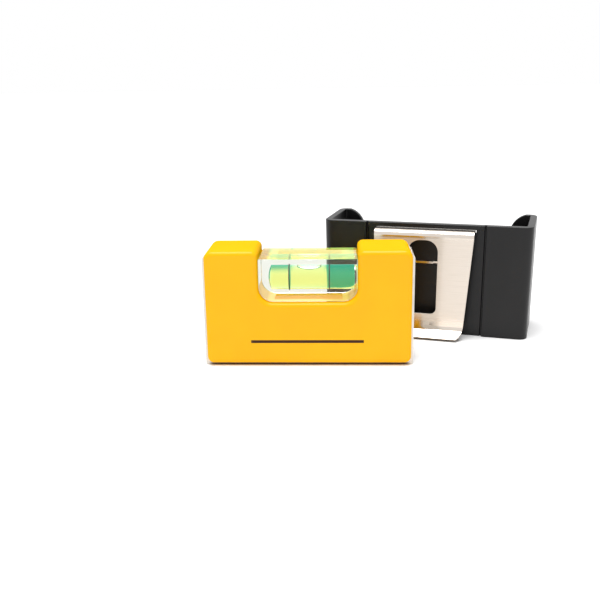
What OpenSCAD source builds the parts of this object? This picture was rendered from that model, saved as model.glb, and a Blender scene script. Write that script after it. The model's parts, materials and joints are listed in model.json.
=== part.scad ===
// Magnetic pocket spirit level, with the belt holster that it is carried in.
// Millimetres. The origin is the middle of the level's base, +X to the right, +Y to the rear, +Z up.

/* [Level body] */
// Width over the two end measuring faces
level_w = 70; // [66:1:84]
// Depth from front to rear
level_d = 20; // [18:0.5:26]
// Height from the base to the top of the posts
level_h = 39.3; // [36.5:0.1:46]
// How far the yellow shells stand back from the measuring faces
shell_inset = 0.8; // [0.3:0.1:1]
// Thickness of the shells' walls
shell_wall = 1.8; // [1.4:0.1:2.2]
// Rounding of the shells' edges
rim_r = 1.5; // [0.8:0.1:1.7]
// Rounding of the shells' lower corners
base_r = 2.1; // [1.8:0.1:3]
// Rounding of the posts' outer top corners
post_out_r = 2.8; // [1.8:0.1:3.2]
// Rounding of the posts' inner top corners
post_in_r = 2; // [1.8:0.1:3]
// Thickness of the shells over the legs of the frame
top_wall = 1.3; // [1:0.1:2]

/* [Cut-out] */
// Width of the cut-out between the posts
cut_w = 32.9; // [30:0.1:38]
// Height of the floor of the cut-out
cut_floor = 21.8; // [19:0.1:22.5]
// Rounding of the lower corners of the cut-out
cut_r = 5; // [3:0.5:7]

/* [Frame] */
// Height of the frame's solid base
frame_base = 12; // [11:0.5:14]
// Thickness of the frame's two legs
leg_t = 4; // [3:0.5:6]
// Chamfer on the outer top corner of each leg
leg_chamfer = 1.5; // [0.5:0.1:2]
// Small chamfer on the frame's upright edges
edge_chamfer = 0.4; // [0.2:0.1:0.8]
// Width of the pipe groove in the base
groove_w = 9; // [6:0.5:11]
// Depth of the pipe groove
groove_depth = 3; // [2:0.25:4]
// Chamfer in the corners between the base and the legs
frame_ease = 2; // [1:0.25:3]
// Play between the frame and the shells
frame_gap = 0.05; // [0.02:0.01:0.1]
// Thickness of the shells' ribs that hold the legs from inside
rib_t = 1.2; // [0.8:0.1:1.6]
// Distance of the ribs from the shells' parting plane
rib_tip = 2; // [1:0.5:4]
// Distance of the ribs' upper ends from the tops of the legs
rib_short = 2; // [1:0.5:4]

/* [Magnets] */
// Distance of each magnet's middle from the end face
magnet_from_end = 13; // [12:0.5:15]
// Outer diameter of a steel cup
cup_dia = 12; // [9:0.5:13]
// Height of a steel cup
cup_h = 5; // [4:0.5:6]
// Wall of a steel cup
cup_wall = 1.1; // [0.8:0.1:1.5]
// Height of the magnets' faces above the base
magnet_recess = 2.2; // [1.5:0.1:3]
// Gap round a cup in the frame and round a magnet in its cup
magnet_gap = 0.03; // [0.02:0.01:0.1]

/* [Shell pins] */
// Distance between the two lower pins, which pass through the frame
low_pin_pitch = 17; // [12:1:20]
// Height of the lower pins
low_pin_z = 7.5; // [6.5:0.25:8.5]
// Distance of each upper pin from the end face, inside the post
high_pin_from_end = 10.5; // [9:0.25:11.5]
// Height of the upper pins
high_pin_z = 27; // [24:1:30]
// Diameter of a moulded boss
boss_dia = 4.6; // [4:0.1:5]
// Diameter of a moulded pin
pin_dia = 2.4; // [1.8:0.1:2.8]
// Length of a moulded pin
pin_len = 4; // [3:0.5:6]
// Gap round the pins in their sockets
pin_gap = 0.03; // [0.02:0.01:0.1]
// Gap round the bosses in the frame
boss_gap = 0.2; // [0.1:0.05:0.4]

/* [Vial] */
// Depth of the acrylic block from front to rear
vial_d = 17.8; // [17:0.1:17.9]
// Height of the acrylic block
vial_h = 14.5; // [13.5:0.1:16]
// Gap between the block and each wall of the cut-out
vial_gap = 0.1; // [0.05:0.05:0.3]
// Thickness of the resin under the block
bedding_t = 0.2; // [0.1:0.05:0.4]
// Depth of the resin from front to rear
bedding_d = 7; // [5:0.5:17]
// Diameter of the bore
bore_dia = 8.36; // [7:0.1:9]
// Height of the bore's axis above the block's underside
bore_rise = 7.1; // [6.4:0.1:8]
// Thickness of the block's closed end
closed_end = 2.9; // [2:0.1:4]
// Depth of the dome at the bore's closed end
bore_dome = 1; // [0.5:0.1:1.6]
// Thickness of the plug in the bore's open end
plug_t = 1; // [0.8:0.1:2]
// Where the middle of the reading lies, right of the level's middle
reading_x = 0.3; // [-0.5:0.1:1]
// Distance between the two reading rings
ring_pitch = 13.4; // [12:0.1:15]
// Width of a reading ring
ring_w = 0.4; // [0.3:0.05:0.6]
// Thickness of a reading ring
ring_t = 0.25; // [0.2:0.05:0.4]
// Gap round what sits in the bore
bore_gap = 0.02; // [0.01:0.01:0.05]
// Length of the bubble
bubble_len = 9.7; // [8:0.1:11]
// Depth of the bubble
bubble_depth = 1.4; // [1:0.1:1.8]
// Liquid film between the bubble and the bore
film = 0.1; // [0.05:0.05:0.2]

/* [Holster] */
// Distance of the middle of the belt wall past the level's right end
holster_past = 6.5; // [6:0.5:30]
// Distance of the middle of the belt wall behind the level's rear
holster_behind = 16.7; // [14:0.1:30]
// Turn of the holster about the upright axis, in degrees
holster_turn = -15.25; // [-18:0.25:0]
// Height of the holster's belt wall
holster_h = 41.3; // [40:0.1:48]
// How much higher the rear lips are than the belt wall
lip_rise = 0.5; // [0:0.1:2]
// Play between the level and the pocket at the floor, along the width and the depth
pocket_play = 0.6; // [0.3:0.1:1.2]
// Thickness of the belt wall
belt_wall = 2.6; // [2.4:0.1:3.4]
// Thickness of the end walls
end_wall = 2.4; // [1.8:0.1:3]
// Thickness of the rear lips
lip_t = 2.3; // [1.8:0.1:3]
// Thickness of the floor
floor_t = 2.4; // [1.8:0.1:3]
// How much wider each side is at the top than at the floor
side_flare = 0.6; // [0.4:0.1:1.6]
// How far each rear lip reaches in from the pocket's end, at the floor
lip_reach = 7; // [4:0.5:9]
// Rounding of the lips' upper inner corners
lip_r = 8; // [5:0.5:10]
// How far those roundings would rise past the lips' slanted tops
lip_past = 0.3; // [0.2:0.1:1]
// Height of the low rear sill above the floor
sill_h = 3.5; // [2:0.5:6]
// Rounding between the sill and the lips
sill_r = 4; // [2:0.5:6]
// Rounding of the holster's upright edges
holster_edge = 3; // [1:0.1:3.2]
// Rounding of the pocket's upright edges
pocket_edge = 0.8; // [0.4:0.1:1.2]
// Half width of the recessed panel at its top
panel_top = 21.7; // [20.5:0.1:24]
// Half width of the recessed panel at its foot
panel_foot = 21.3; // [19:0.1:22]
// Depth of the recessed panel
panel_depth = 0.8; // [0.4:0.1:0.9]
// Width of the seam groove along each side of the panel
seam_w = 0.6; // [0.4:0.1:0.8]
// How far the seam groove reaches out past the panel's side
seam_out = 0.2; // [0.1:0.05:0.3]
// Depth of the seam groove below the panel
seam_depth = 0.5; // [0.3:0.1:0.8]
// Height of the bar above the clip's slot
bar_h = 1.6; // [1.5:0.1:3]

/* [Belt clip] */
// Thickness of the steel strip
strip_t = 0.8; // [0.6:0.05:0.9]
// Width of the clip at its top bend
clip_top_w = 36.2; // [32:0.2:38]
// Width of the clip at its foot
clip_foot_w = 31.2; // [26:0.2:33]
// Reach of the straight run from the wall's middle to the top bend
run_len = 2.6; // [2:0.1:4]
// Radius of the top bend, at the middle of the strip
top_bend_r = 2; // [1.4:0.1:3]
// Lean of the outer leaf away from the wall, in degrees
leaf_lean = 4; // [3:0.25:7]
// Height of the flared foot above the ground
foot_clear = 0.5; // [0.4:0.1:3]
// Radius of the bend above the flared foot
foot_bend_r = 3; // [2:0.25:4]
// Turn of the flared foot, in degrees
foot_turn = 45; // [30:1:60]
// Length of the flared foot past its bend
foot_len = 3.2; // [2:0.1:4]
// Rounding of the foot's corners
foot_r = 5; // [2:0.5:6]
// Width of the window in the outer leaf
window_w = 11; // [8:0.2:14]
// Straight strip left below the window
window_foot_margin = 4; // [0.6:0.1:5]
// Straight strip left above the window
window_top_margin = 1.2; // [0.6:0.1:4]
// Rounding of the window's upper corners
window_top_r = 4.4; // [2:0.1:5]
// Rounding of the window's lower corners
window_low_r = 2.2; // [1:0.1:4]
// Width of the inner leaf
inner_w = 20; // [14:0.5:24]
// Height of the inner leaf's lower edge
inner_low = 19.5; // [16:0.5:22]
// Height of the wide shoulders of the inner leaf
shoulder_low = 33; // [31:0.5:34]
// Height of the barb and of its slit in the wall
barb_z = 26.8; // [25:0.2:29]
// Width of the barb
barb_w = 6.4; // [5:0.2:9]
// Width of the slit
slit_w = 13; // [10:0.5:15]
// Gap round the steel strip in the holster
strip_gap = 0.1; // [0.05:0.05:0.2]
// Room above and below the strip in its slot, for the clip to spring
spring_room = 0.2; // [0.15:0.05:0.6]

/* [Hidden] */
$fn = 48;

yellow = [0.98, 0.72, 0.1];
aluminium = [0.8, 0.81, 0.83];
steel = [0.88, 0.86, 0.84];
black = [0.12, 0.12, 0.12];
magnet_grey = [0.6, 0.6, 0.62];
acrylic = [0.92, 0.96, 0.95, 0.4];
fluid_green = [0.8, 0.95, 0.3, 0.7];
air = [1, 1, 1, 0.5];
resin = [0.9, 0.88, 0.8];

// Overshoot of the cuts
over = 1;
// Least width kept between two roundings, or between a rounding and an edge
least_flat = 0.1;
// Height of the thin discs that a tapered prism is drawn over
thin = 0.01;
// Flats round the edges of a tapered prism
prism_fn = 32;
// Flats in each bend of the steel strip
bend_steps = 10;
// Flats round the bubble
bubble_fn = 200;
// Flats round the ball of the bore's dome
dome_fn = 200;

// Level
half_d = level_d / 2;
shell_half_w = level_w / 2 - shell_inset;
rim = min(rim_r, shell_wall - least_flat);
base_corner = max(base_r, rim + least_flat);
post_out = max(post_out_r, rim + least_flat);
post_in = max(post_in_r, rim + least_flat);
cut_half = cut_w / 2;
// Height at which the rounded lower corners of the cut-out end
cut_knee = cut_floor + cut_r;
frame_half_d = half_d - shell_wall - frame_gap;
leg_in = level_w / 2 - leg_t;
leg_top = level_h - top_wall - frame_gap;
rib_low = frame_base + frame_ease + over;
rib_high = leg_top - rib_short;
high_pin_x = level_w / 2 - high_pin_from_end;

// Magnets
magnet_x = level_w / 2 - magnet_from_end;
pocket_r = cup_dia / 2 + magnet_gap;
cup_top = magnet_recess + cup_h;
magnet_r = cup_dia / 2 - cup_wall - magnet_gap;
magnet_h = cup_h - cup_wall;

// Vial
vial_low = cut_floor + bedding_t;
vial_top = vial_low + vial_h;
vial_half = cut_half - vial_gap;
bore_r = bore_dia / 2;
bore_z = vial_low + bore_rise;
bore_left = -vial_half + closed_end;
plug_in = vial_half - plug_t;
// The bubble's lower face is part of a ball
bubble_ball = (pow(bubble_len / 2, 2) + pow(bubble_depth, 2)) / (2 * bubble_depth);
bubble_ball_z = bore_z + bore_r - film - bubble_depth + bubble_ball;

// Holster, in its own frame: x along the wall, y from the belt wall's outer face to the rear lips
holster_x = level_w / 2 + holster_past;
holster_y = half_d + holster_behind;
pocket_w = level_w + pocket_play;
pocket_d = level_d + pocket_play;
holster_foot = pocket_w / 2 + end_wall;
holster_d = belt_wall + pocket_d + lip_t;
lip_in = pocket_w / 2 - lip_reach;
lip_top_in = lip_in + lip_r;
bar_low = holster_h - bar_h;
lip_top = holster_h + lip_rise;

// Steel strip, its path in the (y, z) plane
strip_half = strip_t / 2;
run_z = bar_low - spring_room - strip_half;
slot_low = run_z - strip_half - spring_room;
inner_back = belt_wall - strip_gap / 2;
inner_bend_r = strip_t;
inner_bend_y = inner_back - strip_half - inner_bend_r;
// The outer leaf turns here, just outside the inner bend
hinge_y = inner_bend_y - 1.5 * strip_gap;
slot_half = clip_top_w / 2 + 2 * strip_gap;
leaf_heading = 270 - leaf_lean;
foot_heading = leaf_heading - foot_turn;
clip_start = hinge_y - strip_gap / 2;
anchor_start = hinge_y + strip_gap / 2;
top_bend_at = [clip_start - run_len, run_z - top_bend_r];
leaf_at = top_bend_at + top_bend_r * [cos(leaf_heading - 90), sin(leaf_heading - 90)];
// What the foot's bend and its flare take of the height
foot_drop = -foot_bend_r * (sin(leaf_heading - 90) + sin(foot_heading + 90)) - foot_len * sin(foot_heading);
leaf_end_z = foot_clear + foot_drop - strip_half * sin(foot_heading + 90);
leaf_len = (leaf_at.y - leaf_end_z) / cos(leaf_lean);
leaf_end = leaf_at + leaf_len * [cos(leaf_heading), sin(leaf_heading)];
foot_bend_at = leaf_end + foot_bend_r * [cos(leaf_heading - 90), sin(leaf_heading - 90)];
foot_at = foot_bend_at + foot_bend_r * [cos(foot_heading + 90), sin(foot_heading + 90)];
foot_end = foot_at + foot_len * [cos(foot_heading), sin(foot_heading)];
window_low = tenth(leaf_end_z + window_foot_margin);
window_high = tenth(leaf_at.y - window_top_margin);
clip_low = tenth(foot_end.y - strip_t);
barb_t = strip_t;
barb_len = inner_back - strip_t - panel_depth - strip_gap;

// Quarter disc with its square corner at the origin, turned by a
module quarter(r, a = 0) {
    rotate(a) intersection() {
        circle(r);
        square(2 * r);
    }
}

// A length to the nearest tenth
function tenth(length) = round(10 * length) / 10;

// Points of an arc about a centre, from one angle to another
function arc(at, r, from, to) = [
    for (i = [0 : bend_steps]) let (a = from + (to - from) * i / bend_steps) at + r * [cos(a), sin(a)]
];

// Rectangle given by its two corners
module block2d(low, high) {
    translate(low) square(high - low);
}

// Front view of the shells, all edges moved inwards by inset
module shell_outline(inset) {
    w = shell_half_w - inset;
    low = shell_inset + inset;
    high = level_h - inset;
    low_r = base_corner - inset;
    out_r = post_out - inset;
    in_r = post_in - inset;
    cut = cut_half + inset;
    corner = cut_r + inset;
    difference() {
        union() {
            block2d([-w + low_r, low], [w - low_r, low + low_r]);
            block2d([-w, low + low_r], [w, cut_knee]);
            for (side = [0, 1]) mirror([side, 0]) {
                translate([w - low_r, low + low_r]) quarter(low_r, -90);
                block2d([cut, cut_knee], [w - out_r, high - in_r]);
                block2d([w - out_r, cut_knee], [w, high - out_r]);
                block2d([cut + in_r, high - in_r], [w - out_r, high]);
                translate([w - out_r, high - out_r]) quarter(out_r);
                translate([cut + in_r, high - in_r]) quarter(in_r, 90);
            }
        }
        block2d([-cut, cut_knee], [cut, cut_knee + over]);
        block2d([-cut + corner, cut_knee - corner], [cut - corner, cut_knee]);
        for (side = [0, 1]) mirror([side, 0])
            translate([cut - corner, cut_knee]) quarter(corner, -90);
    }
}

// Quarter-round bar from one point to the next, rounded to its right and upwards
module rim_bar(from, to) {
    run = to - from;
    translate(from) rotate(atan2(run.y, run.x)) rotate([90, 0, 90])
        linear_extrude(norm(run)) quarter(rim, 90);
}

// Quarter-round edge turned round an outer corner, from angle a
module rim_corner(at, r, a) {
    translate(at) rotate(a) rotate_extrude(angle = 90)
        translate([r - rim, 0]) quarter(rim);
}

// Quarter-round edge turned round an inner corner, from angle a
module rim_hollow(at, r, a) {
    translate(at) rotate(a) rotate_extrude(angle = 90)
        translate([r + rim, 0]) quarter(rim, 90);
}

// Rounded edge that follows the shell's whole outline
module shell_rim() {
    w = shell_half_w;
    low = shell_inset;
    rim_bar([-w + base_corner, low + rim], [w - base_corner, low + rim]);
    rim_bar([cut_half - cut_r, cut_floor - rim], [cut_r - cut_half, cut_floor - rim]);
    for (side = [0, 1]) mirror([side, 0, 0]) {
        rim_corner([w - base_corner, low + base_corner], base_corner, -90);
        rim_bar([w - rim, low + base_corner], [w - rim, level_h - post_out]);
        rim_corner([w - post_out, level_h - post_out], post_out, 0);
        rim_bar([w - post_out, level_h - rim], [cut_half + post_in, level_h - rim]);
        rim_corner([cut_half + post_in, level_h - post_in], post_in, 90);
        rim_bar([cut_half + rim, level_h - post_in], [cut_half + rim, cut_knee]);
        rim_hollow([cut_half - cut_r, cut_knee], cut_r, -90);
    }
}

// Space inside the shells, open at the base and at both ends
module shell_hollow() {
    deep = half_d - shell_wall;
    translate([0, 0, -over]) linear_extrude(deep + over) {
        block2d([-level_w, -over], [level_w, cut_floor - shell_wall]);
        for (side = [0, 1]) mirror([side, 0])
            block2d([cut_half + shell_wall, -over], [level_w, level_h - top_wall]);
    }
}

// Places a child at each shell pin, in the shell's front view
module at_pins() {
    for (side = [-1, 1]) {
        translate([side * low_pin_pitch / 2, low_pin_z]) children();
        translate([side * high_pin_x, high_pin_z]) children();
    }
}

// One half of the shell, in front view: depth runs up from the parting plane
module half_shell() {
    deep = half_d - shell_wall;
    difference() {
        union() {
            linear_extrude(half_d - rim) shell_outline(0);
            translate([0, 0, half_d - rim]) {
                linear_extrude(rim) shell_outline(rim);
                shell_rim();
            }
        }
        shell_hollow();
    }
    at_pins() cylinder(d = boss_dia, h = deep);
    for (side = [0, 1]) mirror([side, 0, 0])
        translate([leg_in - frame_gap - rib_t, rib_low, rib_tip])
            cube([rib_t, rib_high - rib_low, deep - rib_tip]);
}

module front_shell() {
    color(yellow) rotate([90, 0, 0]) {
        half_shell();
        at_pins() translate([0, 0, -pin_len]) cylinder(d = pin_dia, h = pin_len);
    }
}

module rear_shell() {
    socket = pin_dia + 2 * pin_gap;
    color(yellow) mirror([0, 1, 0]) rotate([90, 0, 0]) difference() {
        half_shell();
        at_pins() translate([0, 0, -over]) cylinder(d = socket, h = pin_len + pin_gap + over);
    }
}

// Front view of the frame: a wide U with chamfered outer top corners and eased inner corners
module frame_outline() {
    half = level_w / 2;
    side = [
        [half, 0], [half, leg_top - leg_chamfer], [half - leg_chamfer, leg_top], [leg_in, leg_top],
        [leg_in, frame_base + frame_ease], [leg_in - frame_ease, frame_base]
    ];
    other = [for (i = [len(side) - 1 : -1 : 0]) [-side[i].x, side[i].y]];
    polygon(concat(side, other));
}

// Rectangle about the origin with chamfered corners
module eased_rectangle(x, y, ease) {
    polygon([
        [x, ease - y], [x, y - ease], [x - ease, y], [ease - x, y],
        [-x, y - ease], [-x, ease - y], [ease - x, -y], [x - ease, -y]
    ]);
}

module frame() {
    color(aluminium) difference() {
        intersection() {
            rotate([90, 0, 0]) linear_extrude(2 * frame_half_d, center = true) frame_outline();
            linear_extrude(level_h) eased_rectangle(level_w / 2, frame_half_d, edge_chamfer);
        }
        rotate([90, 0, 90]) linear_extrude(level_w + 2 * over, center = true)
            polygon([[-groove_w / 2, 0], [0, groove_depth], [groove_w / 2, 0], [0, -over]]);
        for (side = [-1, 1]) {
            translate([side * magnet_x, 0, -over]) cylinder(r = pocket_r, h = cup_top + over);
            translate([side * low_pin_pitch / 2, 0, low_pin_z]) rotate([90, 0, 0])
                cylinder(d = boss_dia + 2 * boss_gap, h = level_d, center = true);
        }
    }
}

// Steel pole cup, open downwards
module magnet_cup(side) {
    color(steel) translate([side * magnet_x, 0, magnet_recess]) difference() {
        cylinder(d = cup_dia, h = cup_h);
        translate([0, 0, -over]) cylinder(r = magnet_r + magnet_gap, h = magnet_h + over);
    }
}

module magnet(side) {
    color(magnet_grey) translate([side * magnet_x, 0, magnet_recess])
        cylinder(r = magnet_r, h = magnet_h);
}

// Front view of the acrylic block, with its two rounded lower corners
module vial_outline() {
    block2d([-vial_half + cut_r, vial_low], [vial_half - cut_r, vial_low + cut_r]);
    block2d([-vial_half, vial_low + cut_r], [vial_half, vial_top]);
    for (side = [0, 1]) mirror([side, 0])
        translate([vial_half - cut_r, vial_low + cut_r]) quarter(cut_r, -90);
}

// Round space along X whose left end is domed
module bore_space(r, left, right) {
    dome_r = (r * r + bore_dome * bore_dome) / (2 * bore_dome);
    translate([left, 0, bore_z]) rotate([0, 90, 0]) rotate_extrude() {
        block2d([0, bore_dome], [r, right - left]);
        intersection() {
            translate([0, dome_r]) circle(dome_r, $fn = dome_fn);
            block2d([0, 0], [r, bore_dome]);
        }
    }
}

// Flat ring in the bore's wall, round X
module ring_at(x, inner, outer, w) {
    translate([x - w / 2, 0, bore_z]) rotate([0, 90, 0]) difference() {
        cylinder(r = outer, h = w);
        translate([0, 0, -over]) cylinder(r = inner, h = w + 2 * over);
    }
}

// The acrylic block before it is bored
module vial_blank() {
    rotate([90, 0, 0]) linear_extrude(vial_d, center = true) vial_outline();
}

module vial_block() {
    color(acrylic) difference() {
        vial_blank();
        bore_space(bore_r, bore_left, vial_half + over);
        for (side = [-1, 1])
            ring_at(reading_x + side * ring_pitch / 2, bore_r / 2, bore_r + ring_t, ring_w);
    }
}

module reading_ring(side) {
    color(black)
        ring_at(reading_x + side * ring_pitch / 2, bore_r, bore_r + ring_t - bore_gap, ring_w - bore_gap);
}

// Plug in the bore's open end, trimmed flush with the block's rounded corner
module vial_plug() {
    color(acrylic) intersection() {
        translate([plug_in, 0, bore_z]) rotate([0, 90, 0]) cylinder(r = bore_r - bore_gap, h = plug_t);
        vial_blank();
    }
}

module bubble_ball(grow) {
    translate([reading_x, 0, bubble_ball_z]) sphere(bubble_ball + grow, $fn = bubble_fn);
}

module vial_fluid() {
    color(fluid_green) difference() {
        bore_space(bore_r - bore_gap, bore_left + bore_gap, plug_in - bore_gap);
        bubble_ball(film);
    }
}

module bubble() {
    color(air) intersection() {
        translate([reading_x, 0, bore_z]) rotate([0, 90, 0])
            cylinder(r = bore_r - film, h = 2 * bubble_len, center = true, $fn = bubble_fn);
        bubble_ball(0);
    }
}

// Resin bed on the flat part of the cut-out's floor
module vial_bedding() {
    half = cut_half - cut_r;
    color(resin) translate([-half, -bedding_d / 2, cut_floor]) cube([2 * half, bedding_d, bedding_t]);
}

// Stands the holster's own frame where the set shows it
module at_holster() {
    translate([holster_x, holster_y, 0]) rotate(holster_turn) children();
}

// Upright tapered prism with rounded edges, from one half width at the foot to another at the top
module flared_prism(foot_half, top_half, front, back, low, high, r) {
    levels = [[low, foot_half], [high - thin, top_half]];
    hull() for (level = levels, side = [-1, 1], y = [front + r, back - r])
        translate([side * (level[1] - r), y, level[0]]) cylinder(r = r, h = thin, $fn = prism_fn);
}

// Rear opening between the lips, in rear view
module lip_opening() {
    sill = floor_t + sill_h;
    wide = holster_foot + 2 * side_flare + over;
    round_z = lip_top + lip_past - lip_r;
    difference() {
        block2d([-wide, sill], [wide, lip_top + 2 * over]);
        for (side = [0, 1]) mirror([side, 0]) {
            block2d([lip_in, sill + sill_r], [wide + over, round_z]);
            block2d([lip_top_in, round_z], [wide + over, lip_top + 3 * over]);
            translate([lip_top_in, round_z]) quarter(lip_r, 90);
            difference() {
                block2d([lip_in - sill_r, sill - over], [wide + over, sill + sill_r]);
                translate([lip_in - sill_r, sill + sill_r]) circle(sill_r);
            }
        }
    }
}

module holster_body() {
    pocket_foot = pocket_w / 2;
    back = belt_wall + pocket_d;
    top_slope = lip_rise / holster_d;
    // The blank is drawn taller than the finished holster, and the slanted top cuts it down
    blank_top = lip_top + over;
    blank_flare = side_flare * blank_top / lip_top;
    // The seams follow the panel's sides and go on at the same slant
    seam_slope = (panel_top - panel_foot) / (bar_low + over);
    seam_low = panel_foot + seam_out;
    seam_high = seam_low + seam_slope * (blank_top + over);
    color(black) at_holster() difference() {
        flared_prism(holster_foot, holster_foot + blank_flare, 0, holster_d, 0, blank_top, holster_edge);
        flared_prism(
            pocket_foot, pocket_foot + side_flare, belt_wall, back, floor_t, blank_top + over, pocket_edge
        );
        // Slanted top, from the belt wall up to the rear lips
        rotate([90, 0, 90]) linear_extrude(4 * holster_foot, center = true) polygon([
            [-over, blank_top + over], [-over, holster_h - over * top_slope],
            [holster_d + over, lip_top + over * top_slope], [holster_d + over, blank_top + over]
        ]);
        translate([0, holster_d + over, 0]) rotate([90, 0, 0])
            linear_extrude(lip_t + 2 * over) lip_opening();
        // Recessed panel of the belt wall, under the bar
        rotate([90, 0, 0]) translate([0, 0, -panel_depth]) linear_extrude(panel_depth + over) polygon([
            [-panel_foot, -over], [panel_foot, -over], [panel_top, bar_low], [-panel_top, bar_low]
        ]);
        // Seam grooves along the panel's sides, up to the top
        for (side = [0, 1]) mirror([side, 0, 0]) rotate([90, 0, 0])
            translate([0, 0, -panel_depth - seam_depth])
                linear_extrude(panel_depth + seam_depth + over) polygon([
                    [seam_low - seam_w, -over], [seam_low, -over],
                    [seam_high, blank_top], [seam_high - seam_w, blank_top]
                ]);
        // Slot for the steel strip
        translate([-slot_half, -over, slot_low])
            cube([2 * slot_half, belt_wall + 2 * over, bar_low - slot_low]);
        // Seat of the inner leaf, wide at its shoulders
        seat_y = inner_back - strip_t - strip_gap;
        translate([-slot_half, seat_y, shoulder_low - strip_gap])
            cube([2 * slot_half, belt_wall, bar_low - shoulder_low + strip_gap]);
        translate([-inner_w / 2 - strip_gap, seat_y, inner_low - strip_gap])
            cube([inner_w + 2 * strip_gap, belt_wall, bar_low - inner_low + strip_gap]);
        // Slit for the barb
        translate([-slit_w / 2, -over, barb_z - barb_t / 2 - strip_gap])
            cube([slit_w, belt_wall + over, barb_t + 2 * strip_gap]);
    }
}

// Side view of the outer leaf, from the slot to the flared foot, one side of the strip
function clip_side(off) = concat(
    [[clip_start, run_z - off]],
    arc(top_bend_at, top_bend_r - off, 90, leaf_heading - 90),
    arc(foot_bend_at, foot_bend_r + off, leaf_heading + 90, foot_heading + 90),
    [foot_end + off * [cos(foot_heading + 90), sin(foot_heading + 90)]]
);

// Side view of the inner leaf, from the slot over its bend to its shoulders, one side of the strip
function anchor_side(off) = concat(
    [[anchor_start, run_z + off]],
    arc([inner_bend_y, run_z - inner_bend_r], inner_bend_r + off, 90, 0),
    [[inner_bend_y + inner_bend_r + off, shoulder_low]]
);

// Strip of sheet between its two sides
module strip(one_side, other_side) {
    polygon(concat(one_side, [for (i = [len(other_side) - 1 : -1 : 0]) other_side[i]]));
}

// Front view of the outer leaf: it narrows downwards, and its foot has round corners
module clip_outline() {
    top = run_z + strip_t;
    foot = clip_foot_w / 2;
    low = clip_low;
    difference() {
        union() {
            polygon([
                [-foot, low + foot_r], [foot, low + foot_r],
                [clip_top_w / 2, leaf_at.y], [clip_top_w / 2, top], [-clip_top_w / 2, top],
                [-clip_top_w / 2, leaf_at.y]
            ]);
            block2d([-foot + foot_r, low], [foot - foot_r, low + foot_r]);
            for (side = [0, 1]) mirror([side, 0])
                translate([foot - foot_r, low + foot_r]) quarter(foot_r, -90);
        }
        clip_window();
    }
}

// Window in the outer leaf
module clip_window() {
    half = window_w / 2;
    block2d([-half, window_low + window_low_r], [half, window_high - window_top_r]);
    block2d([-half + window_low_r, window_low], [half - window_low_r, window_low + window_low_r]);
    block2d([-half + window_top_r, window_high - window_top_r], [half - window_top_r, window_high]);
    for (side = [0, 1]) mirror([side, 0]) {
        translate([half - window_low_r, window_low + window_low_r]) quarter(window_low_r, -90);
        translate([half - window_top_r, window_high - window_top_r]) quarter(window_top_r);
    }
}

module belt_clip() {
    color(steel) at_holster() intersection() {
        rotate([90, 0, 90]) linear_extrude(clip_top_w + 2 * over, center = true)
            strip(clip_side(strip_half), clip_side(-strip_half));
        rotate([90, 0, 0]) linear_extrude(4 * holster_d, center = true) clip_outline();
    }
}

// Inner leaf of the strip: a bend behind the slot, two shoulders, a tongue and the barb
module clip_anchor() {
    color(steel) at_holster() {
        rotate([90, 0, 90]) linear_extrude(clip_top_w, center = true)
            strip(anchor_side(strip_half), anchor_side(-strip_half));
        translate([-inner_w / 2, inner_back - strip_t, inner_low])
            cube([inner_w, strip_t, shoulder_low - inner_low]);
        translate([-barb_w / 2, inner_back - strip_t - barb_len, barb_z - barb_t / 2])
            cube([barb_w, barb_len, barb_t]);
    }
}

frame();
front_shell();
rear_shell();
vial_block();
vial_plug();
vial_fluid();
bubble();
reading_ring(-1);  // left_reading_ring
reading_ring(1);  // right_reading_ring
vial_bedding();
magnet_cup(-1);  // magnet_cup_left
magnet_cup(1);  // magnet_cup_right
magnet(-1);  // magnet_left
magnet(1);  // magnet_right
holster_body();
clip_anchor();
belt_clip();
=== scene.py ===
"""Finished look of a magnetic pocket level and its belt holster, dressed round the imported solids.

Lengths are metres in the row frame: X along the level, Y to its rear, Z up, with the origin in the middle of
the level's base. The holster has an upright frame of its own, turned about Z.
"""

import json
import logging
import math
from dataclasses import dataclass
from enum import Enum, IntEnum

import bpy
import numpy as np
from mathutils import Matrix, Vector


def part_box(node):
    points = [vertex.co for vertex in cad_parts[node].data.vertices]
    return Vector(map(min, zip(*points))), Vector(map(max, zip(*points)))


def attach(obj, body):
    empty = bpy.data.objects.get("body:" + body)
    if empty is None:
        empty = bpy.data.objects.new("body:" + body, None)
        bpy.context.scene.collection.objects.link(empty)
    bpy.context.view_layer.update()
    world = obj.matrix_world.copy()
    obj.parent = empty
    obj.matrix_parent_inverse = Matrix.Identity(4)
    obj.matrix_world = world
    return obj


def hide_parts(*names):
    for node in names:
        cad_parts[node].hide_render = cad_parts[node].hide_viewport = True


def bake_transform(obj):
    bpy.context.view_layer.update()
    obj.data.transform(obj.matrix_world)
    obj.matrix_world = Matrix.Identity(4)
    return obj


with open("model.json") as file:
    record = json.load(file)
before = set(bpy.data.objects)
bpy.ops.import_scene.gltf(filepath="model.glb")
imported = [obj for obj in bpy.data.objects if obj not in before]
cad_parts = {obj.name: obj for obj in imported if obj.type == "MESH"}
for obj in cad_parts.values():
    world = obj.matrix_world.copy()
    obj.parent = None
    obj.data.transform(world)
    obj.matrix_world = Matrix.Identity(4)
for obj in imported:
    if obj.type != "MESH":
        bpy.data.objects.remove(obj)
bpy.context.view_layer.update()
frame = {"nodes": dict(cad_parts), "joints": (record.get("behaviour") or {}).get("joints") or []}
MM = 0.001
RIGHT_ANGLE = math.pi / 2
FULL_TURN = 2 * math.pi
NOISE_MIDDLE = 0.5
ACRYLIC_INDEX = 1.49
LIQUID_INDEX = 1.44
AIR_INDEX = 1.0
WHITE = (1.0, 1.0, 1.0)
BLACK = (0.0, 0.0, 0.0)
SIDES = ("left", "right")
LOG = logging.getLogger("pocket_level")

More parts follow.
